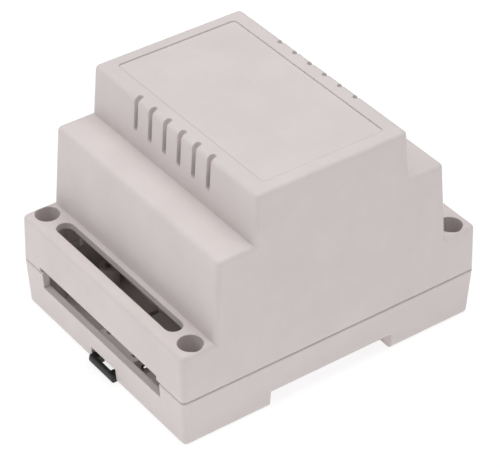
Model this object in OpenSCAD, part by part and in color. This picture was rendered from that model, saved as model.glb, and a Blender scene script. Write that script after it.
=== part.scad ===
// Stepped enclosure for a 35 mm mounting rail: moulded base, moulded cover, sliding rail latch, four screws.
// Origin: centre of the rail seat. +X runs along the rail, +Y towards the fixed hooks, +Z to the front.
// The latch end is at -Y. Heights are measured from the rail seat.

/* [Case] */
// Width along the rail, at the split between base and cover
case_w = 71.6; // [60:0.1:110]
// Length across the rail, at the split
case_l = 90; // [86:0.5:110]
// Depth of the feet below the rail seat
foot_depth = 5; // [4.8:0.1:7]
// Height of the split between base and cover
split_h = 9.2; // [8.5:0.1:13]
// Height of the two terminal ledges
ledge_h = 23; // [21:0.5:30]
// Height of the two shoulders
shoulder_h = 46; // [40:0.5:56]
// Height of the front face
front_h = 60; // [56:0.5:80]
// Distance from the end of the case to the foot of the shoulder wall
ledge_set = 9.7; // [9.2:0.1:12]
// Distance from the end of the case to the foot of the front block
front_set = 21.8; // [18:0.1:25]
// Wall thickness of both mouldings
wall = 2; // [1.6:0.1:2.4]
// Radius on the outer corners and edges
edge_r = 1.4; // [0.8:0.1:2]

/* [Moulding draft] */
// Slope of the cover's side walls, degrees
side_draft = 1.8; // [0.5:0.1:2.5]
// Slope of the cover's end walls, degrees
end_draft = 0.4; // [0.2:0.1:1]
// Slope of the shoulder and front block walls, degrees
tier_draft = 3.7; // [1:0.1:5]
// Slope of the base's outer walls, degrees
base_draft = 2.7; // [0.5:0.1:3.5]

/* [Split line] */
// Shadow gap between the rims of base and cover
rim_gap = 0.3; // [0.1:0.05:0.5]
// Chamfer on the rim of the base
rim_chamfer = 0.4; // [0.2:0.1:0.6]
// Thickness of the base's locating tongues
tongue_t = 0.8; // [0.6:0.1:0.9]
// Height of the locating tongues
tongue_h = 1.6; // [1:0.1:3]
// Length of each locating tongue
tongue_l = 62; // [30:1:66]
// Clearance round the locating tongues
tongue_gap = 0.15; // [0.1:0.05:0.3]

/* [Terminal openings] */
// Length of the slot in each ledge
slot_l = 52.2; // [30:0.2:52.4]
// Width of the slot in each ledge
slot_w = 4.8; // [4.4:0.1:5]
// Distance from the end of the case to the middle of the slot
slot_set = 5.8; // [5.6:0.1:6]
// Width of the wire window in each end wall
window_w = 52.4; // [30:0.2:53]
// Depth of the window below the split
window_drop = 4.5; // [3:0.1:5]
// Height of the window above the split
window_rise = 1.5; // [1:0.1:4]
// Sideways place of the base's half of the window
window_base_shift = 0.5; // [0:0.1:1]
// Sideways place of the cover's half of the window
window_cover_shift = 1.7; // [0:0.1:2]

/* [Vents and label] */
// Number of vents in each wall of the front block
vent_count = 6; // [2:1:7]
// Distance from vent to vent
vent_pitch = 6.1; // [4:0.1:7]
// Width of a vent
vent_w = 1.5; // [1:0.1:2]
// Height of the vents' lower ends
vent_h = 50.8; // [50.5:0.1:53]
// Reach of the vents across the front face
vent_reach = 1.9; // [1.7:0.1:2.1]
// Length of the label recess
label_l = 60.8; // [40:0.2:62]
// Width of the label recess
label_w = 35.6; // [20:0.2:36]
// Depth of the label recess
label_depth = 0.35; // [0.2:0.05:0.6]
// Corner radius of the label recess
label_r = 1; // [0.5:0.1:3]

/* [Cover screws] */
// Distance from the side of the case to a screw
screw_side = 4.25; // [4.2:0.05:5]
// Distance from the end of the case to a screw
screw_end = 5.3; // [5.2:0.1:6]
// Radius of the counterbores
counterbore_r = 3.2; // [3:0.05:3.3]
// Outer radius of the cover's screw columns
column_r = 4.4; // [4:0.1:4.6]
// Thickness of the cover under a screw head
screw_seat_t = 2.2; // [1.5:0.1:4]
// Radius of the holes under the screw heads
screw_hole_r = 1.7; // [1.5:0.05:2]
// Radius of the base's screw pillars
pillar_r = 4; // [3.5:0.1:4.4]
// Radius of the screw's shank
shank_r = 1.2; // [1:0.05:1.35]
// Length of the screw under its head
shank_l = 11; // [8:0.5:13]
// Radius of the screw head
head_r = 2.75; // [2.4:0.05:2.9]
// Height of the screw head
head_h = 2.1; // [1.6:0.1:2.6]
// Radius of the rounded edge of the screw head
head_edge_r = 1.2; // [0.6:0.1:1.5]
// Width of the slots of the cross recess
driver_w = 0.7; // [0.5:0.05:0.9]
// Reach of the cross recess from the screw's axis
driver_reach = 1.65; // [1.2:0.05:2]
// Depth of the cross recess
driver_depth = 1.25; // [0.8:0.05:1.4]
// Length of the screw's pointed tip
tip_l = 2; // [1:0.1:3]
// Radius of the end of the tip
tip_r = 0.2; // [0.1:0.05:0.5]
// Clearance round the screw's shank in its pilot hole
pilot_gap = 0.05; // [0.03:0.01:0.1]

/* [Rail seat] */
// Width of the mounting rail
rail_w = 35; // [35:0.1:35.4]
// Thickness of the mounting rail
rail_t = 1; // [0.9:0.05:1.3]
// Width of the recess across the base
recess_w = 38; // [37.6:0.1:40]
// Slope of the recess walls, degrees
recess_draft = 3; // [0:0.5:5]
// Grip of the fixed hooks under the rail
hook_grip = 1.1; // [0.8:0.1:1.6]
// Length of each fixed hook
hook_l = 18; // [10:0.5:22]
// Distance from the middle of the case to the middle of a fixed hook
hook_x = 23; // [18:0.5:23.5]
// Thickness of a fixed hook at its tip
hook_t = 0.8; // [0.6:0.1:1.2]
// Height of the fixed hooks above the feet
hook_lift = 0.4; // [0.2:0.1:0.8]
// Width by which the opening over a hook is larger than the hook, on three sides
window_gap = 0.2; // [0.1:0.05:0.3]
// Clearance between the rail's underside and the hooks
rail_gap = 0.3; // [0.2:0.05:0.4]

/* [Latch] */
// Width of the latch's handle
handle_w = 10.3; // [9:0.1:11]
// Width of the latch between the channel walls
latch_w = 11.8; // [11.4:0.1:13]
// Thickness of the latch plate
latch_t = 2.1; // [1.8:0.1:2.3]
// Running clearance round the latch
latch_gap = 0.3; // [0.2:0.05:0.35]
// Travel of the latch
latch_travel = 3; // [2.2:0.1:3.4]
// Grip of the latch under the rail
latch_grip = 1.6; // [1:0.1:2]
// Reach of the handle past the foot of the end wall
handle_reach = 1.15; // [0.5:0.05:2]
// Height of the handle's lip
handle_h = 2.4; // [2:0.1:2.7]
// Height of the handle above the feet
handle_lift = 0.1; // [0:0.05:0.3]
// Thickness of the lip in front of the screwdriver eye
lip_t = 1.05; // [0.9:0.05:1.3]
// Chamfer on the edges of the lip
lip_chamfer = 0.4; // [0.2:0.05:0.5]
// Reach of the ridge along the lip
ridge_reach = 0.15; // [0.05:0.05:0.3]
// Height of the ridge above the handle's underside
ridge_h = 1; // [0.8:0.1:1.4]
// Length of the handle behind its lip
handle_l = 2.2; // [1.8:0.1:2.4]
// Length of the screwdriver eye
eye_l = 3; // [2.5:0.1:3.2]
// Width of the screwdriver eye
eye_w = 6.2; // [5:0.1:6.8]
// Length of the ramp under the latch's nose
nose_ramp = 1.4; // [0.8:0.1:1.6]
// Thickness of the nose at its tip
nose_t = 0.6; // [0.5:0.05:0.9]
// Step from the side of the latch plate to the side of the nose
nose_side = 0.6; // [0.3:0.1:1]
// Distance from the latch's shoulder to the free end of a spring arm
arm_set = 4.6; // [4.2:0.1:5.2]
// Length of the spring arms
arm_l = 11.5; // [9:0.1:12.5]
// Thickness of the spring arms
arm_t = 1.1; // [0.8:0.1:1.2]
// Slot between a spring arm and the plate
arm_slot = 0.9; // [0.6:0.1:1]
// Height of the catch at the end of each arm
catch_h = 1; // [0.7:0.1:1.2]
// Length of the catch
catch_l = 2.1; // [1.8:0.1:2.3]
// Lean of the catch's locking face
catch_lead = 0.3; // [0.1:0.1:0.5]
// Lean of the catch's other face
catch_run = 1; // [0.6:0.1:1.2]
// Thickness of the channel's side walls
channel_wall = 1.5; // [1.2:0.1:2]
// Thickness of the channel's roof
roof_t = 2.2; // [1.6:0.1:2.6]
// Width of the guide lips under the latch
guide_w = 1.3; // [1:0.1:1.5]
// Thickness of the guide lips
guide_t = 1.3; // [1:0.1:1.4]
// Length of each guide lip
guide_l = 3; // [2:0.1:3.2]
// Distance from the rail recess to the inner pair of guide lips
guide_set = 4.6; // [4:0.1:5]

/* [Board supports] */
// Distance between the board posts along the rail
post_x = 52.6; // [40:0.2:53]
// Distance between the board posts across the rail
post_y = 50.6; // [50:0.2:56]
// Height of the board seats
post_h = 3.5; // [3:0.1:5]
// Radius of a board post
post_r = 2.6; // [2.4:0.1:3]
// Radius of the pilot holes in the posts
post_hole_r = 1.15; // [0.9:0.05:1.3]
// Depth of the pilot holes in the posts
post_hole_depth = 5.5; // [4:0.1:5.5]
// Distance from the end of the case to a partition rib
rib_set = 14.7; // [14.5:0.1:16]
// Reach of the partition ribs from the side walls
rib_reach = 3; // [2:0.1:4]
// Thickness of the partition ribs
rib_t = 1.2; // [1:0.1:1.4]

/* [Hidden] */

// Extra length that carries a cut clear through a face
over = 1;
// Depth to which one shape is sunk into the wall that carries it
root = 0.8;
// Height of the thin rings that a drafted block is drawn between
ring_h = 0.01;

half_w = case_w / 2;
half_l = case_l / 2;
foot_z = -foot_depth;
floor_z = foot_z + wall;
deck_z = wall;
recess_y = recess_w / 2;
recess_top_y = recess_y - drop_in(recess_draft, foot_depth);
hook_tip_y = rail_w / 2 - hook_grip;
tongue_x = half_w - wall + tongue_gap;

screw_x = half_w - screw_side;
screw_y = half_l - screw_end;
screw_seat_z = split_h + screw_seat_t;
pilot_r = shank_r + pilot_gap;
pilot_bottom = screw_seat_z - shank_l - root;

// Heights of the latch's plate and of the channel round it
latch_top = -rail_t - rail_gap;
latch_bottom = latch_top - latch_t;
channel_top = latch_top + latch_gap;
channel_x = latch_w / 2 + latch_gap;
roof_z = channel_top + roof_t;
guide_top = latch_bottom - latch_gap;
guide_x = channel_x - guide_w;
mouth_x = handle_w / 2 + latch_gap;

// Places along the latch, from its handle to its nose
foot_end = half_l - drop_in(base_draft, split_h + foot_depth);
lip_y = -foot_end - handle_reach;
eye_y = lip_y + lip_t;
neck_y = eye_y + handle_l;
inner_end = -half_l + wall;
shoulder_y = inner_end + latch_travel + latch_gap;
arm_y = shoulder_y + arm_set;
plate_end = -recess_y - latch_gap;
nose_y = -rail_w / 2 + latch_grip;
guide_near = shoulder_y + latch_gap;
guide_far = -recess_y - guide_set - guide_l;

case_colour = [0.85, 0.82, 0.81];
latch_colour = [0.07, 0.07, 0.07];
screw_colour = [0.62, 0.62, 0.63];

// How far a wall leans in over a height
function drop_in(angle, height) = height * tan(angle);

// Half width of the cover and half length of one of its blocks, at a height
function cover_x(z) = half_w - drop_in(side_draft, z - split_h);
function block_y(set, slope, foot, z) = half_l - set - drop_in(slope, z - foot);
function end_y(z) = block_y(0, end_draft, split_h, z);
function shoulder_wall_y(z) = block_y(ledge_set, tier_draft, ledge_h, z);
function front_wall_y(z) = block_y(front_set, tier_draft, shoulder_h, z);

// Repeats a shape in the four corners of the case
module corners(x, y) {
    for (sx = [-1, 1], sy = [-1, 1])
        translate([sx * x, sy * y, 0]) children();
}

// Places a shape at the latch end, and again turned half round at the far end
module both_ends() {
    for (turn = [0, 180]) rotate([0, 0, turn]) children();
}

// Mirrors a shape to the other side of the case
module both_sides() {
    children();
    mirror([1, 0, 0]) children();
}

// A bar along X with a profile drawn as [y, z] points
module bar_x(length, points) {
    rotate([90, 0, 90]) translate([0, 0, -length / 2]) linear_extrude(length) polygon(points);
}

// A bar along Y with a profile drawn as [x, z] points
module bar_y(length, points) {
    rotate([90, 0, 0]) translate([0, 0, -length / 2]) linear_extrude(length) polygon(points);
}

// A box between two corners
module span(low, high) {
    translate(low) cube(high - low);
}

// The four corner rounds of a thin ring, at a half width and half length
module ring_corners(x, y) {
    corners(x - edge_r, y - edge_r) children();
}

// ---------------------------------------------------------------- cover

// A drafted block from the split up to a height, with rounded corners and a rounded top edge
module cover_block(top, y_low, y_high) {
    hull() {
        translate([0, 0, split_h + rim_gap]) ring_corners(cover_x(split_h + rim_gap), y_low)
            cylinder(h = ring_h, r1 = edge_r, r2 = edge_r - ring_h, $fn = 32);
        translate([0, 0, top - edge_r - ring_h]) ring_corners(cover_x(top - edge_r), y_high)
            cylinder(h = ring_h, r = edge_r, $fn = 32);
        translate([0, 0, top - edge_r]) ring_corners(cover_x(top - edge_r), y_high)
            sphere(r = edge_r, $fn = 32);
    }
}

module cover_outside() {
    low = split_h + rim_gap;
    cover_block(ledge_h, end_y(low), end_y(ledge_h - edge_r));
    cover_block(shoulder_h, shoulder_wall_y(low), shoulder_wall_y(shoulder_h - edge_r));
    cover_block(front_h, front_wall_y(low), front_wall_y(front_h - edge_r));
}

// Half of the stepped inside profile, from the split up to the front
function inside_half() = [
    [end_y(split_h) - wall, split_h - over],
    [end_y(ledge_h) - wall, ledge_h - wall],
    [shoulder_wall_y(ledge_h) - wall, ledge_h - wall],
    [shoulder_wall_y(shoulder_h) - wall, shoulder_h - wall],
    [front_wall_y(shoulder_h) - wall, shoulder_h - wall],
    [front_wall_y(front_h) - wall, front_h - wall]];

module cover_inside() {
    low = split_h - over;
    high = front_h + over;
    half = inside_half();
    other_half = [for (i = [len(half) - 1 : -1 : 0]) [-half[i][0], half[i][1]]];
    intersection() {
        bar_x(case_w, concat(half, other_half));
        bar_y(case_l, [[cover_x(low) - wall, low], [cover_x(high) - wall, high],
                       [wall - cover_x(high), high], [wall - cover_x(low), low]]);
    }
}

// Columns that carry the screw heads, cut back inside the outer walls
module screw_columns() {
    x_limit = cover_x(ledge_h) - root;
    y_limit = end_y(ledge_h) - root;
    intersection() {
        corners(screw_x, screw_y)
            translate([0, 0, split_h]) cylinder(h = ledge_h - split_h - root, r = column_r, $fn = 64);
        span([-x_limit, -y_limit, 0], [x_limit, y_limit, ledge_h]);
    }
}

// Ribs on the side walls that stop a partition or a board edge
module partition_ribs() {
    low = split_h + rim_gap;
    high = shoulder_h - wall - over;
    x_low = cover_x(low) - wall;
    x_high = cover_x(high) - wall;
    both_ends() both_sides()
        translate([0, -half_l + rib_set, 0])
            bar_y(rib_t, [[x_low - rib_reach, low], [x_low + root, low],
                          [x_high + root, high], [x_high - rib_reach, high]]);
}

module ledge_slot() {
    reach = slot_l / 2 - slot_w / 2;
    y = -half_l + slot_set;
    translate([-reach, y, ledge_h - wall - over]) cylinder(h = wall + 2 * over, d = slot_w, $fn = 64);
    translate([reach, y, ledge_h - wall - over]) cylinder(h = wall + 2 * over, d = slot_w, $fn = 64);
    span([-reach, y - slot_w / 2, ledge_h - wall - over], [reach, y + slot_w / 2, ledge_h + over]);
}

// One vent: a narrow slot up the wall of the front block and over its edge
module vent() {
    inner = front_wall_y(front_h) - vent_reach;
    outer = front_wall_y(shoulder_h) + over;
    low = vent_h + vent_w / 2;
    translate([0, -inner - vent_w / 2, low]) cylinder(h = front_h - low + over, d = vent_w, $fn = 32);
    span([-vent_w / 2, -outer, low], [vent_w / 2, -inner - vent_w / 2, front_h + over]);
    translate([0, -inner, low]) rotate([90, 0, 0]) cylinder(h = outer - inner, d = vent_w, $fn = 32);
}

module vents() {
    for (i = [0 : vent_count - 1])
        translate([(i - (vent_count - 1) / 2) * vent_pitch, 0, 0]) vent();
}

module label_recess() {
    translate([0, 0, front_h - label_depth]) linear_extrude(label_depth + over) {
        square([label_l - 2 * label_r, label_w], center = true);
        square([label_l, label_w - 2 * label_r], center = true);
        corners(label_l / 2 - label_r, label_w / 2 - label_r) circle(r = label_r, $fn = 32);
    }
}

// The cover's half of a wire window
module window_top() {
    span([-window_w / 2 - window_cover_shift, -half_l - over, split_h - over],
         [window_w / 2 - window_cover_shift, -half_l + wall + root, split_h + window_rise]);
}

// Rebates that take the base's tongues
module tongue_rebates() {
    x = tongue_x + tongue_t + tongue_gap;
    length = tongue_l + 2 * tongue_gap;
    both_sides()
        span([half_w - wall - over, -length / 2, split_h - over],
             [x, length / 2, split_h + tongue_h + tongue_gap]);
}

module cover() {
    color(case_colour)
    difference() {
        union() {
            difference() {
                cover_outside();
                cover_inside();
            }
            screw_columns();
            partition_ribs();
        }
        corners(screw_x, screw_y) {
            translate([0, 0, screw_seat_z]) cylinder(h = ledge_h, r = counterbore_r, $fn = 64);
            translate([0, 0, split_h - over]) cylinder(h = ledge_h, r = screw_hole_r, $fn = 48);
        }
        both_ends() {
            ledge_slot();
            vents();
            window_top();
        }
        label_recess();
        tongue_rebates();
    }
}

// ---------------------------------------------------------------- base

module base_outside() {
    lean = drop_in(base_draft, split_h - rim_chamfer - foot_z - edge_r);
    hull() {
        translate([0, 0, split_h - ring_h]) ring_corners(half_w - rim_chamfer, half_l - rim_chamfer)
            cylinder(h = ring_h, r = edge_r, $fn = 32);
        translate([0, 0, split_h - rim_chamfer - ring_h]) ring_corners(half_w, half_l)
            cylinder(h = ring_h, r1 = edge_r - ring_h, r2 = edge_r, $fn = 32);
        translate([0, 0, foot_z + edge_r]) ring_corners(half_w - lean, half_l - lean)
            cylinder(h = ring_h, r = edge_r, $fn = 32);
        translate([0, 0, foot_z + edge_r]) ring_corners(half_w - lean, half_l - lean)
            sphere(r = edge_r, $fn = 32);
    }
}

// The tray: two deep ends and a raised deck over the rail
module base_inside() {
    high = split_h + over;
    lean = drop_in(base_draft, high - floor_z);
    x_high = half_w - wall;
    x_low = x_high - lean / 2;
    y_high = half_l - wall;
    y_low = y_high - lean / 2;
    step = recess_y + wall;
    intersection() {
        bar_x(case_w, [[-y_high, high], [-y_low, floor_z], [-step, floor_z], [-step, deck_z],
                       [step, deck_z], [step, floor_z], [y_low, floor_z], [y_high, high]]);
        bar_y(case_l, [[x_high, high], [x_low, floor_z], [-x_low, floor_z], [-x_high, high]]);
    }
}

module rail_recess() {
    low_y = recess_y + drop_in(recess_draft, over);
    bar_x(case_w + 2 * over, [[-low_y, foot_z - over], [low_y, foot_z - over], [recess_top_y, 0], [-recess_top_y, 0]]);
}

// Hook profile: a flat under the rail's edge and a ramp below it
module fixed_hooks() {
    wall_y = recess_y + root;
    low = foot_z + hook_lift;
    both_sides() translate([hook_x, 0, 0])
        bar_x(hook_l, [[wall_y, latch_top], [hook_tip_y, latch_top], [hook_tip_y, latch_top - hook_t],
                       [recess_y, low], [wall_y, low]]);
}

// Openings through the deck over the hooks, where the mould's core passes
module hook_windows() {
    x = hook_l / 2 + window_gap;
    both_sides()
        span([hook_x - x, hook_tip_y - window_gap, -over], [hook_x + x, recess_y, deck_z + over]);
}

// Opening through the deck over the latch's nose, so that the nose can be seen and freed from inside
module nose_window() {
    x = latch_w / 2 - nose_side + latch_gap;
    span([-x, -recess_y, -over], [x, nose_y + latch_gap, deck_z + over]);
}

module screw_pillars() {
    x_limit = half_w - drop_in(base_draft, split_h + foot_depth) - root;
    y_limit = half_l - drop_in(base_draft, split_h + foot_depth) - root;
    intersection() {
        corners(screw_x, screw_y)
            translate([0, 0, floor_z - root]) cylinder(h = split_h - floor_z + root, r = pillar_r, $fn = 64);
        span([-x_limit, -y_limit, foot_z], [x_limit, y_limit, split_h]);
    }
}

module board_posts() {
    corners(post_x / 2, post_y / 2)
        translate([0, 0, floor_z - root]) cylinder(h = post_h - floor_z + root, r = post_r, $fn = 48);
}

module tongues() {
    both_sides()
        span([tongue_x, -tongue_l / 2, split_h - over], [tongue_x + tongue_t, tongue_l / 2, split_h + tongue_h]);
}

// Walls and roof of the channel that the latch slides in
module channel_block() {
    x = channel_x + channel_wall;
    span([-x, -half_l + root, foot_z + root], [x, -recess_y - root, roof_z]);
}

module channel_cut() {
    span([-channel_x, inner_end, foot_z - over], [channel_x, -recess_y + over, channel_top]);
    span([-mouth_x, -half_l - over, foot_z - over], [mouth_x, inner_end + over, channel_top + latch_gap]);
}

// Small lips that hold the latch up, and the openings over them for the mould's core
module guide_lips() {
    for (y = [guide_near, guide_far]) both_sides()
        span([guide_x, y, foot_z], [channel_x + root, y + guide_l, guide_top]);
}

module guide_windows() {
    for (y = [guide_near, guide_far]) both_sides()
        span([guide_x, y, channel_top - over], [channel_x, y + guide_l, roof_z + over]);
}

// Side windows in which the catches of the spring arms travel
module catch_windows() {
    both_sides()
        span([channel_x - over, arm_y - latch_travel - latch_gap, latch_bottom - latch_gap],
             [channel_x + channel_wall + over, arm_y + catch_l + latch_gap, channel_top]);
}

// The base's half of a wire window
module window_bottom() {
    span([-window_w / 2 - window_base_shift, -half_l - over, split_h - window_drop],
         [window_w / 2 - window_base_shift, -half_l + wall + root, split_h + over]);
}

module base() {
    color(case_colour)
    difference() {
        union() {
            difference() {
                union() {
                    difference() {
                        base_outside();
                        base_inside();
                        rail_recess();
                    }
                    channel_block();
                }
                channel_cut();
            }
            guide_lips();
            fixed_hooks();
            screw_pillars();
            board_posts();
            tongues();
        }
        guide_windows();
        catch_windows();
        hook_windows();
        nose_window();
        both_ends() window_bottom();
        corners(screw_x, screw_y)
            translate([0, 0, pilot_bottom]) cylinder(h = split_h - pilot_bottom + over, r = pilot_r, $fn = 48);
        corners(post_x / 2, post_y / 2)
            translate([0, 0, post_h - post_hole_depth]) cylinder(h = post_hole_depth + over, r = post_hole_r, $fn = 48);
    }
}

// ---------------------------------------------------------------- latch

// The handle, a low block with a ridged lip that stands out of the end wall, and the neck behind it
module handle() {
    low = foot_z + handle_lift;
    high = low + handle_h;
    root_y = shoulder_y + over;
    bar_x(handle_w, [[lip_y + lip_chamfer / 2, high], [lip_y, high - lip_chamfer],
                     [lip_y - ridge_reach, low + ridge_h], [lip_y, low + lip_chamfer],
                     [lip_y + lip_chamfer, low], [neck_y, low], [neck_y, latch_bottom],
                     [root_y, latch_bottom], [root_y, latch_top], [neck_y, latch_top], [neck_y, high]]);
}

// The nose: flat on top, with a ramp below that rides over the rail's edge
module nose() {
    root_y = plate_end - over;
    bar_x(latch_w - 2 * nose_side,
          [[root_y, latch_top], [nose_y, latch_top], [nose_y, latch_top - nose_t],
           [nose_y - nose_ramp, latch_bottom], [root_y, latch_bottom]]);
}

// One catch: a wedge on the free end of a spring arm
module catch_wedge() {
    x_in = latch_w / 2 - root;
    x_out = latch_w / 2 + catch_h;
    translate([0, 0, latch_bottom]) linear_extrude(latch_t)
        polygon([[x_in, arm_y], [x_out, arm_y + catch_lead],
                 [x_out, arm_y + catch_l - catch_run], [x_in, arm_y + catch_l]]);
}

module arm_slots() {
    x_out = latch_w / 2 - arm_t;
    both_sides() {
        span([x_out - arm_slot, arm_y - arm_slot, latch_bottom - over], [x_out, arm_y + arm_l, latch_top + over]);
        span([x_out - arm_slot, arm_y - arm_slot, latch_bottom - over], [latch_w, arm_y, latch_top + over]);
    }
}

module rail_latch() {
    color(latch_colour)
    difference() {
        union() {
            handle();
            span([-latch_w / 2, shoulder_y, latch_bottom], [latch_w / 2, plate_end, latch_top]);
            nose();
            both_sides() catch_wedge();
        }
        arm_slots();
        span([-eye_w / 2, eye_y, foot_z - over], [eye_w / 2, eye_y + eye_l, over]);
    }
}

// ---------------------------------------------------------------- screws

// Half profile of a pan head screw with a pointed tip, its seat at height zero
function screw_profile() = concat(
    [[0, -shank_l], [tip_r, -shank_l], [shank_r, tip_l - shank_l], [shank_r, 0], [head_r, 0]],
    [for (angle = [0 : 15 : 90])
        [head_r - head_edge_r * (1 - cos(angle)), head_h - head_edge_r * (1 - sin(angle))]],
    [[0, head_h]]);

module screw() {
    color(screw_colour)
    difference() {
        rotate_extrude($fn = 48) polygon(screw_profile());
        for (turn = [0, 90]) rotate([0, 0, turn])
            span([-driver_reach, -driver_w / 2, head_h - driver_depth],
                 [driver_reach, driver_w / 2, head_h + over]);
    }
}

module screw_at(sx, sy) {
    translate([sx * screw_x, sy * screw_y, screw_seat_z]) screw();
}

base();
cover();
rail_latch();
screw_at(-1, -1);  // screw_near_left
screw_at(1, -1);  // screw_near_right
screw_at(-1, 1);  // screw_far_left
screw_at(1, 1);  // screw_far_right
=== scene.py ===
# %% [markdown]
# # A stepped rail enclosure, dressed for the studio
# The object is an empty electronics case that clips onto a 35 mm mounting rail: a moulded base, a moulded
# cover, a black sliding latch and four screws. The solids already have their true shapes, so this lesson
# is about finishes: how moulded ABS, filled nylon and zinc-plated steel differ, and which small marks of
# the moulding process make them look real. It ends with the floor, the light and the camera.

import math

import bpy
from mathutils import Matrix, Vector


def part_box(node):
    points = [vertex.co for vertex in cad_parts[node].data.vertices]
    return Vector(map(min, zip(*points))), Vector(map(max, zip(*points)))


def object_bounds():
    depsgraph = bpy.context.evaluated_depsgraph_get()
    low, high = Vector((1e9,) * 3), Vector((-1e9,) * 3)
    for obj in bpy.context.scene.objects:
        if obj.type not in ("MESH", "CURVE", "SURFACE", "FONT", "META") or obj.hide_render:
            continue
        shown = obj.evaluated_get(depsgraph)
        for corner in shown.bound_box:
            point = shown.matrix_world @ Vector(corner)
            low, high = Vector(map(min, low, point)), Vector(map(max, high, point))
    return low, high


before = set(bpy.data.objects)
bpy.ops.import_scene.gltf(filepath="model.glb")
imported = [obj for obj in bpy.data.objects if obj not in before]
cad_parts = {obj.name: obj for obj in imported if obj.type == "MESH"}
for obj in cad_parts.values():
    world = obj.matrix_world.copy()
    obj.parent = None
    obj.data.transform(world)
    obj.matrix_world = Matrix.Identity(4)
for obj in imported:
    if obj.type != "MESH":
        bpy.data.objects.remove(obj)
solid_box = [list(corner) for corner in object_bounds()]
print("solids:", sorted(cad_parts))
print("size in mm:", [round(1000 * (high - low), 2) for low, high in zip(*solid_box)])

# %% [markdown]
# ## Units and places
# Sizes are easiest to think about in millimetres, so one value turns them to metres. The places of the
# screws come from the solids' own boxes, so that every mark that belongs to a screw stays with it.

# %% Millimetres, and the places of the screws
MM = 0.001

SCREWS = sorted(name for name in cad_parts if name.startswith("screw_"))


def centre_of(node):
    """The middle of a solid's box, in metres."""
    low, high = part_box(node)
    return (low + high) / 2


screw_x = max(abs(centre_of(name).x) for name in SCREWS)
screw_y = max(abs(centre_of(name).y) for name in SCREWS)
print("screws at x, y in mm:", round(screw_x / MM, 2), round(screw_y / MM, 2))

# %% [markdown]
# ## Colours and nodes
# Colours are easiest to compare as sRGB hex values, but a shader works with linear light, so one function
# converts them. A second function adds a node, sets its values and links its inputs in one call, which
# keeps each material short enough to read as a recipe. An input's name is written with underscores for its
# spaces, and an input that is easier to count than to name is i0, i1 or i2.

# %% Colour and node helpers


def linear(hex_colour):
    """The sRGB curve undone for each channel: c / 12.92 near black, ((c + 0.055) / 1.055) ** 2.4 above it."""
    channels = [int(hex_colour[i:i + 2], 16) / 255 for i in (1, 3, 5)]
    return [c / 12.92 if c <= 0.04045 else ((c + 0.055) / 1.055) ** 2.4 for c in channels] + [1.0]


def add(tree, kind, settings=None, **inputs):
    """Adds a shader node. Settings are its own properties; inputs are values or other nodes' outputs."""
    node = tree.nodes.new("ShaderNode" + kind)
    for name, value in (settings or {}).items():
        setattr(node, name, value)
    for name, value in inputs.items():
        key = int(name[1:]) if name[0] == "i" and name[1:].isdigit() else name.replace("_", " ")
        if isinstance(value, bpy.types.NodeSocket):
            tree.links.new(value, node.inputs[key])
        else:
            node.inputs[key].default_value = value
    return node


def calculate(tree, operation, first, second=0.0):
    """The result of one arithmetic node. The second value is ignored where the operation takes only one."""
    return add(tree, "Math", {"operation": operation}, i0=first, i1=second).outputs[0]


def new_material(name):
    """An empty node material, its tree and its output node."""
    material = bpy.data.materials.new(name)
    material.use_nodes = True
    material.node_tree.nodes.clear()
    return material, material.node_tree, add(material.node_tree, "OutputMaterial")


print("mid grey #808080 in linear light:", round(linear("#808080")[0], 3))

# %% [markdown]
# ## The case: spark-eroded ABS
# The base and the cover are injection moulded in a warm light-grey ABS. The mould was finished by spark
# erosion, which leaves grains about 0.1 mm across. They are too fine to see one by one, so they are drawn
# twice as coarse and very shallow, and what the eye gets is a soft, broad highlight. Real mouldings also
# have edges rounded by the cutter, slight sink marks where a thick column stands behind a wall, and a
# faint cloudiness in the colour. Rounded edges could be cut into the mesh, but a bevelled shading normal
# gives the same highlight and leaves the solid as it is.

# %% Sink marks over the screw columns
SINK_WIDTH = 2.6 * MM
SINK_HEIGHT = 4.5 * MM
SINK_DEPTH = 0.05 * MM
COVER_SINK_Z = 14.4 * MM
BASE_SINK_Z = -0.6 * MM


def sink_marks(tree, position, z_centre):
    """Height in metres, below zero in an oval dimple by each screw: -d * exp(-(dx / w) ** 2 - (dz / h) ** 2)."""
    axes = add(tree, "SeparateXYZ", Vector=position)
    side = calculate(tree, "ABSOLUTE", axes.outputs["X"])
    across = calculate(tree, "DIVIDE", calculate(tree, "SUBTRACT", side, screw_x), SINK_WIDTH)
    along = calculate(tree, "DIVIDE", calculate(tree, "SUBTRACT", axes.outputs["Z"], z_centre), SINK_HEIGHT)
    across = calculate(tree, "POWER", across, 2.0)
    along = calculate(tree, "POWER", along, 2.0)
    total = calculate(tree, "ADD", across, along)
    dimple = calculate(tree, "EXPONENT", calculate(tree, "MULTIPLY", total, -1.0))
    return calculate(tree, "MULTIPLY", dimple, -SINK_DEPTH)


# %% Moulded ABS
GRAIN = 0.2 * MM
GRAIN_DEPTH = 0.012 * MM
GRAIN_STRENGTH = 0.5
CLOUD = 14 * MM
CLOUD_COLOURS = [(0.3, "#dad1d0"), (0.7, "#e0d7d6")]
EDGE_ROUND = 0.45 * MM
EDGE_SAMPLES = 6
ABS_ROUGHNESS = 0.56
ABS_IOR = 1.54


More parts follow.
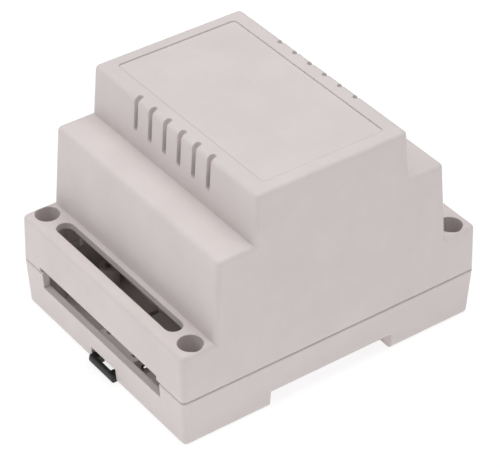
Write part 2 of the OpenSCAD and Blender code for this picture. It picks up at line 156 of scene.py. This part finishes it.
def moulded_abs(name, sink_z):
    """Matt ABS: fine grain over rounded edges, with sink marks and a faint cloudiness."""
    material, tree, output = new_material(name)
    place = add(tree, "TexCoord").outputs["Object"]
    cloud = add(tree, "TexNoise", Vector=place, Scale=1 / CLOUD, Detail=3.0, Roughness=0.6)
    colour = add(tree, "ValToRGB", Fac=cloud.outputs["Fac"])
    for stop, (position, hex_colour) in zip(colour.color_ramp.elements, CLOUD_COLOURS):
        stop.position = position
        stop.color = linear(hex_colour)
    grain = add(tree, "TexNoise", Vector=place, Scale=1 / GRAIN, Detail=2.0, Roughness=0.5)
    rounded = add(tree, "Bevel", {"samples": EDGE_SAMPLES}, Radius=EDGE_ROUND)
    dimpled = add(tree, "Bump", Strength=1.0, Distance=1.0, Height=sink_marks(tree, place, sink_z),
                  Normal=rounded.outputs["Normal"])
    grained = add(tree, "Bump", Strength=GRAIN_STRENGTH, Distance=GRAIN_DEPTH, Height=grain.outputs["Fac"],
                  Normal=dimpled.outputs["Normal"])
    abs_plastic = add(tree, "BsdfPrincipled", Base_Color=colour.outputs["Color"], Roughness=ABS_ROUGHNESS,
                      IOR=ABS_IOR, Normal=grained.outputs["Normal"])
    tree.links.new(abs_plastic.outputs[0], output.inputs["Surface"])
    return material


cover_abs = moulded_abs("moulded_abs_cover", COVER_SINK_Z)
base_abs = moulded_abs("moulded_abs_base", BASE_SINK_Z)
print("grain drawn at", GRAIN / MM, "mm, edges rounded to", EDGE_ROUND / MM, "mm")

# %% [markdown]
# ## The latch: black filled nylon
# The latch has to bend and spring back, so it is nylon, filled and dyed black. It comes out of the mould a
# little glossier than the case, with a slightly uneven skin where the filler reaches the surface.

# %% Black nylon
NYLON_COLOUR = "#0f0e0f"
NYLON_GRAIN = 0.3 * MM
NYLON_GRAIN_DEPTH = 0.01 * MM
NYLON_GRAIN_STRENGTH = 0.6
NYLON_PATCH = 4 * NYLON_GRAIN
NYLON_ROUGHNESS = (0.42, 0.58)
NYLON_EDGE_ROUND = 0.2 * MM
NYLON_IOR = 1.53


def black_nylon():
    """Semi-matt black nylon: roughness varies softly, over a fine uneven skin."""
    material, tree, output = new_material("filled_nylon_black")
    place = add(tree, "TexCoord").outputs["Object"]
    skin = add(tree, "TexNoise", Vector=place, Scale=1 / NYLON_GRAIN, Detail=3.0)
    patches = add(tree, "TexNoise", Vector=place, Scale=1 / NYLON_PATCH, Detail=2.0)
    sheen = add(tree, "MapRange", Value=patches.outputs["Fac"], To_Min=NYLON_ROUGHNESS[0],
                To_Max=NYLON_ROUGHNESS[1])
    rounded = add(tree, "Bevel", {"samples": EDGE_SAMPLES}, Radius=NYLON_EDGE_ROUND)
    uneven = add(tree, "Bump", Strength=NYLON_GRAIN_STRENGTH, Distance=NYLON_GRAIN_DEPTH,
                 Height=skin.outputs["Fac"], Normal=rounded.outputs["Normal"])
    nylon = add(tree, "BsdfPrincipled", Base_Color=linear(NYLON_COLOUR), Roughness=sheen.outputs["Result"],
                IOR=NYLON_IOR, Normal=uneven.outputs["Normal"])
    tree.links.new(nylon.outputs[0], output.inputs["Surface"])
    return material


latch_nylon = black_nylon()
print("latch finish:", latch_nylon.name)

# %% [markdown]
# ## The screws: zinc-plated steel
# The thread-forming screws are plated with bright zinc. Plating follows the turned metal below it, so the
# head keeps rings of very fine tool marks, which stretch its highlight. The rings are a wave in the
# distance from each screw's axis, one material for each screw, because each has its own centre. Blender's
# wave turns by 20 radians for each unit of scaled distance, so its scale is 2 pi / (20 * ring distance).

# %% Zinc plate with turned rings
ZINC_COLOUR = "#c6c8cb"
ZINC_ROUGHNESS = 0.3
RING = 0.12 * MM
RING_DEPTH = 0.01 * MM
RING_STRENGTH = 0.15
WAVE_RADIANS = 20


def zinc_plate(node):
    """Bright zinc: a metal with rings round the screw's own axis."""
    centre = centre_of(node)
    material, tree, output = new_material("zinc_plate_" + node)
    place = add(tree, "TexCoord").outputs["Object"]
    centred = add(tree, "Mapping", Vector=place, Location=(-centre.x, -centre.y, 0.0))
    rings = add(tree, "TexWave", {"wave_type": "RINGS", "rings_direction": "Z"},
                Vector=centred.outputs["Vector"], Scale=2 * math.pi / (WAVE_RADIANS * RING),
                Distortion=0.4, Detail=1.0)
    turned = add(tree, "Bump", Strength=RING_STRENGTH, Distance=RING_DEPTH, Height=rings.outputs["Fac"])
    zinc = add(tree, "BsdfPrincipled", Base_Color=linear(ZINC_COLOUR), Metallic=1.0,
               Roughness=ZINC_ROUGHNESS, Normal=turned.outputs["Normal"])
    tree.links.new(zinc.outputs[0], output.inputs["Surface"])
    return material


# %% Finish every solid


def finish_solid(node, material):
    """Puts one material in every slot of a solid."""
    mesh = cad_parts[node].data
    if not mesh.materials:
        mesh.materials.append(material)
    for i in range(len(mesh.materials)):
        mesh.materials[i] = material


finish_solid("base", base_abs)
finish_solid("cover", cover_abs)
finish_solid("rail_latch", latch_nylon)
for name in SCREWS:
    finish_solid(name, zinc_plate(name))
print("finished", len(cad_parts), "solids")

# %% [markdown]
# ## The floor
# The case stands on its feet on a pale floor. To the camera the floor is almost white whatever falls on it,
# and only a trace of contact shadow shows, so the floor is mostly a plain white emission to the camera and
# to reflections. For the light that it sends back up onto the case it is matt white with a glow of its own,
# like a sheet of opal acrylic lit from below. That glow is why the walls are lighter near the floor.
# The floor is clear when it is seen from below, so that the feet and the rail recess can be looked at too.

# %% A white studio floor
FLOOR_SIZE = 6.0
FLOOR_WHITE = (0.92, 0.92, 0.92, 1.0)
PLAIN_WHITE = (1.0, 1.0, 1.0, 1.0)
SHADOW_SHARE = 0.3
FLOOR_GLOW = 0.36
FLOOR_GAP = 0.02 * MM


def studio_floor():
    """A square mesh under the feet: a glowing matt white, almost plain white to the camera."""
    half = FLOOR_SIZE / 2
    z = solid_box[0][2] - FLOOR_GAP
    mesh = bpy.data.meshes.new("studio_floor")
    mesh.from_pydata([(-half, -half, z), (half, -half, z), (half, half, z), (-half, half, z)], [],
                     [(0, 1, 2, 3)])
    floor = bpy.data.objects.new("studio_floor", mesh)
    bpy.context.scene.collection.objects.link(floor)
    material, tree, output = new_material("matt_white_floor")
    rays = add(tree, "LightPath")
    seen = calculate(tree, "MAXIMUM", rays.outputs["Is Camera Ray"], rays.outputs["Is Glossy Ray"])
    seen = calculate(tree, "MAXIMUM", seen, rays.outputs["Is Transmission Ray"])
    share = calculate(tree, "MULTIPLY", seen, 1 - SHADOW_SHARE)
    matt = add(tree, "BsdfDiffuse", Color=FLOOR_WHITE)
    glow = add(tree, "Emission", Color=PLAIN_WHITE, Strength=FLOOR_GLOW)
    opal = add(tree, "AddShader", i0=matt.outputs[0], i1=glow.outputs[0])
    white = add(tree, "Emission", Color=PLAIN_WHITE, Strength=1.0)
    mixed = add(tree, "MixShader", i0=share, i1=opal.outputs[0], i2=white.outputs[0])
    below = add(tree, "NewGeometry").outputs["Backfacing"]
    clear = add(tree, "BsdfTransparent")
    one_sided = add(tree, "MixShader", i0=below, i1=mixed.outputs[0], i2=clear.outputs[0])
    tree.links.new(one_sided.outputs[0], output.inputs["Surface"])
    mesh.materials.append(material)
    return floor


studio_floor()
print("floor at z =", round((solid_box[0][2] - FLOOR_GAP) / MM, 2), "mm")

# %% [markdown]
# ## The light
# A large softbox overhead makes the tops the lightest faces. A second one, in front of the latch end, keeps
# the end walls nearly as light, and the world fills the long side, which stays a little darker. Camera and
# transmission rays see the world as white, and everything else gets its real level.

# %% World and softboxes
WORLD_LEVEL = 0.29
SOFTBOXES = {
    "key_softbox": {"place": (-0.35, -0.75, 0.75), "size": 0.7, "watts": 2.5},
    "top_softbox": {"place": (0.1, 0.1, 1.0), "size": 0.8, "watts": 6.2},
}


def studio_world():
    """Plain white to the camera and through clear pieces, and a soft, even light for everything else."""
    world = bpy.data.worlds.new("studio_world")
    world.use_nodes = True
    tree = world.node_tree
    tree.nodes.clear()
    rays = add(tree, "LightPath")
    seen = calculate(tree, "MAXIMUM", rays.outputs["Is Camera Ray"], rays.outputs["Is Transmission Ray"])
    level = add(tree, "MapRange", Value=seen, To_Min=WORLD_LEVEL, To_Max=1.0)
    background = add(tree, "Background", Color=PLAIN_WHITE, Strength=level.outputs["Result"])
    output = add(tree, "OutputWorld")
    tree.links.new(background.outputs[0], output.inputs["Surface"])
    bpy.context.scene.world = world


def softbox(name, aim, place, size, watts):
    """A square area lamp at a place, turned to face a point."""
    lamp = bpy.data.lights.new(name, "AREA")
    lamp.size = size
    lamp.energy = watts
    holder = bpy.data.objects.new(name, lamp)
    holder.location = place
    holder.rotation_euler = (Vector(aim) - Vector(place)).to_track_quat("-Z", "Y").to_euler()
    bpy.context.scene.collection.objects.link(holder)


studio_world()
middle = [(low + high) / 2 for low, high in zip(*solid_box)]
for name, box in SOFTBOXES.items():
    softbox(name, middle, **box)
print("world level", WORLD_LEVEL, "with", len(SOFTBOXES), "softboxes")

# %% [markdown]
# ## The camera
# A long lens from well above and to the right of the latch end, so that the verticals stay nearly
# parallel. Its place is given by a turn, a height angle and a distance from the point it looks at.

# %% Camera
TURN = math.radians(54.02)
HEIGHT_ANGLE = math.radians(37.10)
DISTANCE = 604.3 * MM
AIM = Vector((7.42, -4.80, 25.0)) * MM
LENS = 175.28
SENSOR = 36.0
NEAR_CLIP = 0.01

camera_data = bpy.data.cameras.new("camera")
camera_data.lens = LENS
camera_data.sensor_width = SENSOR
camera_data.clip_start = NEAR_CLIP
camera = bpy.data.objects.new("camera", camera_data)
away = Vector((math.sin(TURN) * math.cos(HEIGHT_ANGLE), -math.cos(TURN) * math.cos(HEIGHT_ANGLE),
               math.sin(HEIGHT_ANGLE)))
camera.location = AIM + away * DISTANCE
camera.rotation_euler = (-away).to_track_quat("-Z", "Y").to_euler()
bpy.context.scene.collection.objects.link(camera)
bpy.context.scene.camera = camera
print("camera at", [round(c, 3) for c in camera.location])

# %% Colour management
bpy.context.scene.view_settings.view_transform = "Standard"
